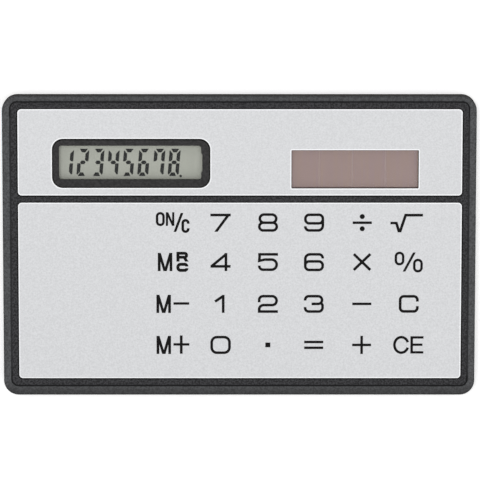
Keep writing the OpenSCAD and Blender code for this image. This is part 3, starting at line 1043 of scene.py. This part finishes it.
def add_post(bm, cx, cy, foot, slot):
    """Adds a key's pad, post and contact pill to bm as one closed shape."""
    b = Builder()
    pad = (cx - 3.5, cx + 3.5, cy - 2.9, cy + 2.9)
    pad_rows = [b.ring(outline(grow(pad, -d), 1 - d, 4), SKIN_LOW + rise)
                for d, rise in ((0.1, 0), (0, 0.03), (0, 0.1), (0.03, 0.12))]
    b.walls(pad_rows)
    b.flat(pad_rows[-1])
    # Radius and height of each ring down the post
    profile = ((1.85, SKIN_LOW), (1.7, SKIN_LOW - 0.15), (1.7, foot + 0.1), (1.6, foot + 0.05),
               (1.5, foot + 0.05), (1.5, foot))
    stem = [b.ring(circle(cx, cy, r), z) for r, z in profile]
    b.walls(stem)
    b.flat(pad_rows[0], [stem[0]], up=False)
    b.flat(stem[-1], up=False)
    bmesh.ops.recalc_face_normals(b.bm, faces=b.bm.faces)
    for face in b.bm.faces:
        face.material_index = slot
    part = bpy.data.meshes.new("post")
    b.bm.to_mesh(part)
    b.bm.free()
    bm.from_mesh(part)
    bpy.data.meshes.remove(part)


def key_cap(name, row, column):
    """The film over one key with its print, and the key's post and contact pill below."""
    body = "key_" + name
    box = cad_box(body)
    cx, cy, foot = *box_centre(box), box[4]
    bm = film_patch(cx, cy)
    polygons = shifted(legend(name), cx + PRINT_SHIFT[column], cy + PRINT_RISE[row])
    add_print(bm, polygons, SKIN_TOP - LIP_T, SKIN_TOP + INK_T, 1)
    add_post(bm, cx, cy, foot, 2)
    mesh = to_mesh(bm, body + "_film", [M["film"], M["ink"], M["post"]])
    obj = linked(body + "_film", mesh)
    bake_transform(obj, "case", body, start=(cx * MM, cy * MM, SKIN_TOP * MM),
             end=(cx * MM, cy * MM, foot * MM))
    co = np.array([v.co for v in mesh.vertices]) / MM
    weight = press_weight(co[:, 0] - cx, co[:, 1] - cy)
    below_film = co[:, 2] < SKIN_TOP - FILM_OVER_KEY - 0.005
    weight[below_film] = 1
    mesh.attributes["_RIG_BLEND"].data.foreach_set("value", weight.astype(np.float32))
    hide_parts(body)


def keypad():
    """The silver sheet round the keys, and the film over each of them."""
    windows = []
    for row, names in enumerate(KEY_ROWS):
        for column, name in enumerate(names):
            key_cap(name, row, column)
            cx, cy = box_centre(cad_box("key_" + name))
            windows.append((cx - PRESS_X[1], cx + PRESS_X[1], cy - PRESS_Y[1], cy + PRESS_Y[1]))
    b = Builder()
    rows = sheet_rows(b, grow(FILM, -0.02), SKIN_R, -1, 0.5)
    # The sheet's cut edge and its border are drawn in painted highlight.
    b.walls(rows[:2], slot=1, smooth=False)
    b.walls(rows[1:], slot=1)
    tops, lows = [], []
    for x0, x1, y0, y1 in windows:
        corners = [(x0, y0), (x1, y0), (x1, y1), (x0, y1)]
        top, low = b.ring(corners, SKIN_TOP), b.ring(corners, SKIN_LOW)
        b.walls([top, low], smooth=False)
        tops.append(top)
        lows.append(low)
    b.flat(rows[0], tops)
    b.flat(rows[-1], lows, up=False)
    return b.done("keypad_sheet", [M["film"], M["cut"]], "keypad_film")


# ---------------------------------------------------------------- CAD nodes shown as they are

def simple(slot_name, colour, roughness, size=0.4, metallic=0.0, bump=0.15):
    return speckled(slot_name, colour, roughness, size, (0.88, 1.1), bump, metallic=metallic)


def cad_materials():
    """A procedural finish for each CAD node that is shown as it is."""
    finishes = {
        "carrier_plate": simple("carrier_plastic", srgb(38, 38, 39), 0.55),
        "case_screws": simple("screw_steel", srgb(150, 151, 155), 0.32, size=0.1, metallic=1.0),
        "display_tape": simple("black_tape", srgb(20, 20, 20), 0.8),
        "lcd_seal": simple("seal_resin", srgb(190, 184, 165), 0.4),
        "rear_glass": M["lcd"],
        "rear_polariser": simple("reflector", srgb(165, 168, 160), 0.5),
        "display_ribbon": simple("ribbon_amber", srgb(206, 150, 60), 0.35),
        "solar_backing": simple("backing_paint", srgb(160, 139, 134), 0.6),
        "solar_tape": simple("white_tape", srgb(235, 235, 230), 0.8),
        "solar_wire_positive": simple("wire_red", srgb(180, 35, 28), 0.4),
        "solar_wire_negative": simple("wire_black", srgb(28, 28, 28), 0.4),
        "circuit_board": simple("board_green", srgb(44, 105, 62), 0.35),
        "contact_pads": simple("carbon", srgb(28, 28, 29), 0.6),
        "controller_chip": simple("chip_resin", srgb(22, 22, 23), 0.25),
        "capacitor": simple("component_tan", srgb(176, 141, 87), 0.5),
        "resistors": simple("component_black", srgb(34, 34, 36), 0.4),
        "voltage_diode": simple("component_red", srgb(168, 67, 58), 0.3),
        "spacer_film": simple("spacer_white", srgb(238, 232, 212), 0.5),
        "keypad_mat": simple("mat_rubber", srgb(158, 162, 166), 0.7),
    }
    for name, finish in finishes.items():
        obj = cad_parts[name]
        if not obj.material_slots:
            obj.data.materials.append(finish)
        for material_slot in obj.material_slots:
            material_slot.material = finish


# ---------------------------------------------------------------- floor, light and camera

FLOOR_REACH, FLOOR_GAP = 5, 0.00002
CAMERA_AT, CAMERA_TURN, CAMERA_LENS = (-0.0025, 0.10511, 0.7), (-8.488, -0.211, 0.034), 290.5


def floor():
    mesh = bpy.data.meshes.new("studio_floor")
    corners = [(x * FLOOR_REACH, y * FLOOR_REACH, 0) for x, y in ((-1, -1), (1, -1), (1, 1), (-1, 1))]
    mesh.from_pydata(corners, [], [(0, 1, 2, 3)])
    obj = linked("studio_floor", mesh)
    obj.location.z = -FLOOR_GAP
    mesh.materials.append(material("studio_white", (0.93, 0.93, 0.93), 0.8,
                                   Emission_Color=(1, 1, 1, 1), Emission_Strength=0.3))


def lamp(name, location, size, power, target=(0, 0, 0)):
    light = bpy.data.lights.new(name, "AREA")
    light.shape = "RECTANGLE"
    light.size, light.size_y = size
    light.energy = power
    obj = linked(name, light)
    obj.location = location
    obj.rotation_euler = (Vector(target) - Vector(location)).to_track_quat("-Z", "Y").to_euler()


def studio():
    """Two soft lamps, and a white surround that is brighter overhead than at the horizon."""
    world = bpy.data.worlds.new("studio")
    world.use_nodes = True
    tree = world.node_tree
    background = tree.nodes["Background"]
    background.inputs["Color"].default_value = (1, 1, 1, 1)
    way = node(tree, "ShaderNodeTexCoord")
    parts = node(tree, "ShaderNodeSeparateXYZ")
    rise = map_range(tree, 0.1, 0.95)
    tree.links.new(way.outputs["Generated"], parts.inputs["Vector"])
    tree.links.new(parts.outputs["Z"], rise.inputs["Value"])
    tree.links.new(rise.outputs["Result"], background.inputs["Strength"])
    bpy.context.scene.world = world
    lamp("key_light", (-0.2, 0.2, 0.95), (0.5, 0.4), 2.5)
    lamp("fill_light", (0.35, -0.2, 0.95), (0.6, 0.6), 1.7)
    bpy.context.scene.view_settings.view_transform = "Standard"


def camera():
    """Nearly straight above, from a little towards the display edge, with a long lens."""
    data = bpy.data.cameras.new("camera")
    data.sensor_width = 36
    data.lens = CAMERA_LENS
    data.clip_start, data.clip_end = 0.05, 10
    obj = linked("camera", data)
    obj.location = CAMERA_AT
    obj.rotation_euler = [math.radians(a) for a in CAMERA_TURN]
    bpy.context.scene.camera = obj


# ---------------------------------------------------------------- everything

front_bezel()
rear_cover()
upper_sheet()
keypad()
display()
solar()
cad_materials()
floor()
studio()
camera()
